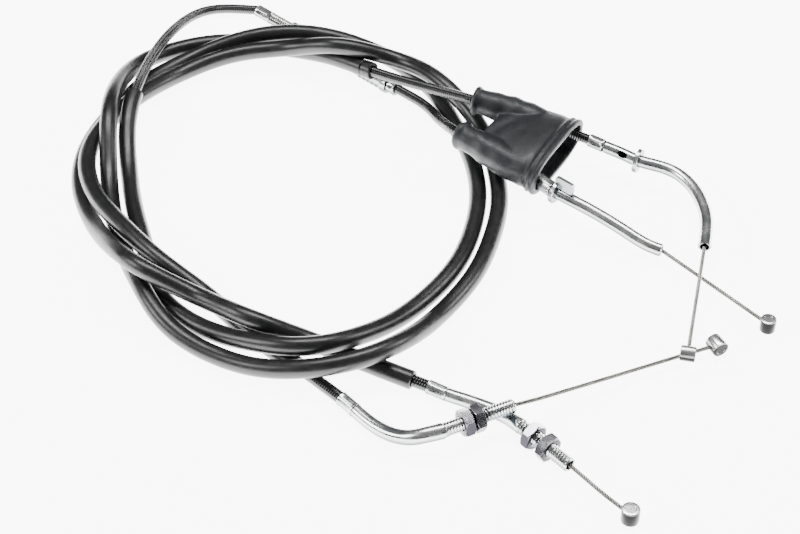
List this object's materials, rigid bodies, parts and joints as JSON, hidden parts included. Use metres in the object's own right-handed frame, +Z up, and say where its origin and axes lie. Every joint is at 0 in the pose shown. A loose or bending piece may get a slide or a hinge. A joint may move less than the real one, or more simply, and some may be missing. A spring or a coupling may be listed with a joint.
{
  "type": "throttle cable set",
  "caption": "Motorcycle throttle cable set: return cable with elbow ends and pull cable with in-line adjuster, joined by a two-neck rubber boot, laid in a loose coil.",
  "frame": {"origin": "middle of the bottom of the set's box, on the surface it lies on", "axes": "+Z up from the surface; +Y along the coil's longer side, away from the engine ends; +X towards the grip ends"},
  "size_m": [0.298, 0.3258, 0.0274],
  "materials": {
    "cover_vinyl": "satin charcoal vinyl cover tube, smooth",
    "conduit_plastic": "shiny black plastic coating, fine rings of the wound steel showing through",
    "liner_plastic": "natural white low-friction liner",
    "steel_wire": "bare twisted strand",
    "nut_steel": "bright plated, slightly darker flats",
    "nipple_metal": "bright cast nipple",
    "boot_rubber": "charcoal moulded rubber, satin",
    "zinc_plated_steel": "bright zinc plate, cool blue-grey in the shade"
  },
  "bodies": {
    "cable_set": {"cable_boot": "boot_rubber", "inline_ferrule_front": "zinc_plated_steel", "inline_ferrule_rear": "zinc_plated_steel", "inline_screw": "zinc_plated_steel", "pull_conduit_lower": "conduit_plastic", "pull_conduit_upper": "conduit_plastic", "pull_engine_adjuster": "zinc_plated_steel", "pull_engine_ferrule": "zinc_plated_steel", "pull_grip_ferrule": "zinc_plated_steel", "pull_grip_flange": "zinc_plated_steel", "pull_grip_pipe": "zinc_plated_steel", "pull_grip_wire": "steel_wire", "pull_inner_wire": "steel_wire", "pull_liner_lower": "liner_plastic", "pull_liner_upper": "liner_plastic", "pull_sleeve": "cover_vinyl", "return_conduit": "conduit_plastic", "return_elbow_adjuster": "zinc_plated_steel", "return_engine_ferrule": "zinc_plated_steel", "return_grip_elbow": "zinc_plated_steel", "return_grip_ferrule": "zinc_plated_steel", "return_grip_flange": "zinc_plated_steel", "return_grip_wire": "steel_wire", "return_inner_wire": "steel_wire", "return_liner": "liner_plastic", "return_sleeve": "cover_vinyl", "return_sleeve_band": "cover_vinyl"},
    "return_engine_core": {"return_engine_wire": "steel_wire", "return_engine_nipple": "nipple_metal"},
    "return_grip_core": {"return_grip_nipple": "nipple_metal"},
    "pull_engine_core": {"pull_engine_wire": "steel_wire", "pull_engine_nipple": "nipple_metal"},
    "pull_grip_core": {"pull_grip_nipple": "nipple_metal"},
    "return_inner_nut": {"return_lock_nut_inner": "nut_steel"},
    "return_outer_nut": {"return_lock_nut_outer": "nut_steel"},
    "pull_inner_nut": {"pull_lock_nut_inner": "nut_steel"},
    "pull_outer_nut": {"pull_lock_nut_outer": "nut_steel"},
    "adjuster_barrel": {"inline_barrel": "zinc_plated_steel"},
    "adjuster_lock_nut": {"inline_lock_nut": "nut_steel"}
  },
  "joints": [
    {"name": "return_engine_slide", "type": "slide", "parent": "cable_set", "child": "return_engine_core", "axis": [0.9015, 0.4328, 0], "range_m": [0, 0.016]},
    {"name": "return_grip_slide", "type": "slide", "parent": "cable_set", "child": "return_grip_core", "axis": [-0.2176, -0.976, -0.0079], "range_m": [-0.016, 0], "deforming": ["return_grip_wire"]},
    {"name": "pull_engine_slide", "type": "slide", "parent": "cable_set", "child": "pull_engine_core", "axis": [0.6604, -0.7509, 0], "range_m": [0, 0.024]},
    {"name": "pull_grip_slide", "type": "slide", "parent": "cable_set", "child": "pull_grip_core", "axis": [0.6732, -0.7391, -0.0243], "range_m": [-0.024, 0], "deforming": ["pull_grip_wire"]},
    {"name": "return_inner_nut_turn", "type": "hinge", "parent": "cable_set", "child": "return_inner_nut", "pos_m": [0.02128, -0.11997, 0.0103], "axis": [0.9015, 0.4328, 0], "continuous": true},
    {"name": "return_outer_nut_turn", "type": "hinge", "parent": "cable_set", "child": "return_outer_nut", "pos_m": [0.0257, -0.11785, 0.0103], "axis": [0.9015, 0.4328, 0], "continuous": true},
    {"name": "pull_inner_nut_turn", "type": "hinge", "parent": "cable_set", "child": "pull_inner_nut", "pos_m": [0.04709, -0.12283, 0.0059], "axis": [0.6604, -0.7509, 0], "continuous": true},
    {"name": "pull_outer_nut_turn", "type": "hinge", "parent": "cable_set", "child": "pull_outer_nut", "pos_m": [0.05231, -0.12876, 0.0059], "axis": [0.6604, -0.7509, 0], "continuous": true},
    {"name": "adjuster_barrel_turn", "type": "hinge", "parent": "cable_set", "child": "adjuster_barrel", "pos_m": [-0.07313, 0.1568, 0.0049], "axis": [0.736, -0.6769, 0], "continuous": true},
    {"name": "adjuster_lock_nut_turn", "type": "hinge", "parent": "cable_set", "child": "adjuster_lock_nut", "pos_m": [-0.05385, 0.13906, 0.0049], "axis": [0.736, -0.6769, 0], "continuous": true}
  ],
  "couplings": [
    {"joint": "return_grip_slide", "follows": "return_engine_slide", "ratio": -1},
    {"joint": "pull_grip_slide", "follows": "pull_engine_slide", "ratio": -1}
  ]
}
